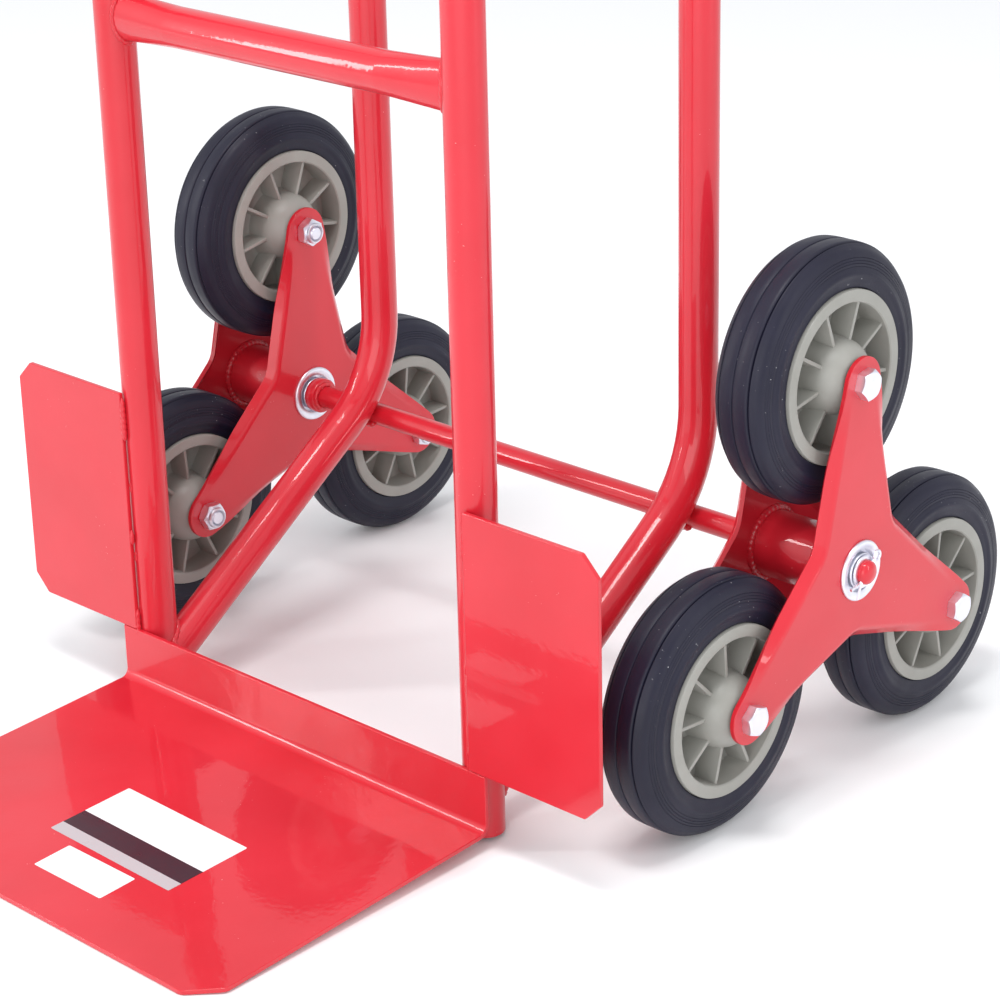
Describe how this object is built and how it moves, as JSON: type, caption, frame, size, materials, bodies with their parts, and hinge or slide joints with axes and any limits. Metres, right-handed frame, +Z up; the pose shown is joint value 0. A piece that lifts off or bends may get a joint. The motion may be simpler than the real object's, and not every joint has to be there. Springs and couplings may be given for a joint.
{
  "type": "stair climbing trolley",
  "caption": "Upright tubular hand truck with a bent toe plate, side guard plates, bent-back handles and a three-wheel star at each end of its axle for climbing stairs.",
  "frame": {"origin": "on the floor, under the centre of the bounding box", "axes": "+Z up along the uprights, -Y towards the load side where the toe plate lies, +X to the right seen from the load side"},
  "size_m": [0.5646, 0.6204, 1.1189],
  "materials": {
    "red_paint": "gloss powder coat, lightly orange-peeled",
    "zinc_steel": "bright zinc plate",
    "tyre_rubber": "satin solid rubber",
    "rim_plastic": "satin moulded plastic",
    "grip_rubber": "matte moulded rubber"
  },
  "bodies": {
    "frame": {"axle": "red_paint", "axle_collar_left": "red_paint", "axle_collar_right": "red_paint", "crossbar_lower": "red_paint", "crossbar_middle": "red_paint", "crossbar_upper": "red_paint", "end_washer_left": "zinc_steel", "end_washer_right": "zinc_steel", "grip_left": "grip_rubber", "grip_right": "grip_rubber", "rear_tube_left": "red_paint", "rear_tube_right": "red_paint", "side_plate_left": "red_paint", "side_plate_right": "red_paint", "split_pin_left": "zinc_steel", "split_pin_right": "zinc_steel", "toe_plate": "red_paint", "upright_left": "red_paint", "upright_right": "red_paint"},
    "star_left": {"bearing_inner_left": "zinc_steel", "bearing_outer_left": "zinc_steel", "hub_tube_left": "red_paint", "lock_nuts_left": "zinc_steel", "star_inner_plate_left": "red_paint", "star_outer_plate_left": "red_paint", "wheel_bolts_left": "zinc_steel", "wheel_sleeves_left": "zinc_steel"},
    "wheel_top_left": {"rim_top_left": "rim_plastic", "tyre_top_left": "tyre_rubber"},
    "wheel_front_left": {"rim_front_left": "rim_plastic", "tyre_front_left": "tyre_rubber"},
    "wheel_rear_left": {"rim_rear_left": "rim_plastic", "tyre_rear_left": "tyre_rubber"},
    "star_right": {"bearing_inner_right": "zinc_steel", "bearing_outer_right": "zinc_steel", "hub_tube_right": "red_paint", "lock_nuts_right": "zinc_steel", "star_inner_plate_right": "red_paint", "star_outer_plate_right": "red_paint", "wheel_bolts_right": "zinc_steel", "wheel_sleeves_right": "zinc_steel"},
    "wheel_top_right": {"rim_top_right": "rim_plastic", "tyre_top_right": "tyre_rubber"},
    "wheel_front_right": {"rim_front_right": "rim_plastic", "tyre_front_right": "tyre_rubber"},
    "wheel_rear_right": {"rim_rear_right": "rim_plastic", "tyre_rear_right": "tyre_rubber"}
  },
  "joints": [
    {"name": "star_spin_left", "type": "hinge", "parent": "frame", "child": "star_left", "pos_m": [-0.2375, 0.12685, 0.13965], "axis": [1, 0, 0], "continuous": true},
    {"name": "wheel_spin_top_left", "type": "hinge", "parent": "star_left", "child": "wheel_top_left", "pos_m": [-0.2375, 0.12685, 0.25895], "axis": [1, 0, 0], "continuous": true},
    {"name": "wheel_spin_front_left", "type": "hinge", "parent": "star_left", "child": "wheel_front_left", "pos_m": [-0.2375, 0.02353, 0.08], "axis": [1, 0, 0], "continuous": true},
    {"name": "wheel_spin_rear_left", "type": "hinge", "parent": "star_left", "child": "wheel_rear_left", "pos_m": [-0.2375, 0.23017, 0.08], "axis": [1, 0, 0], "continuous": true},
    {"name": "star_spin_right", "type": "hinge", "parent": "frame", "child": "star_right", "pos_m": [0.2375, 0.12685, 0.13965], "axis": [1, 0, 0], "continuous": true},
    {"name": "wheel_spin_top_right", "type": "hinge", "parent": "star_right", "child": "wheel_top_right", "pos_m": [0.2375, 0.12685, 0.25895], "axis": [1, 0, 0], "continuous": true},
    {"name": "wheel_spin_front_right", "type": "hinge", "parent": "star_right", "child": "wheel_front_right", "pos_m": [0.2375, 0.02353, 0.08], "axis": [1, 0, 0], "continuous": true},
    {"name": "wheel_spin_rear_right", "type": "hinge", "parent": "star_right", "child": "wheel_rear_right", "pos_m": [0.2375, 0.23017, 0.08], "axis": [1, 0, 0], "continuous": true}
  ]
}
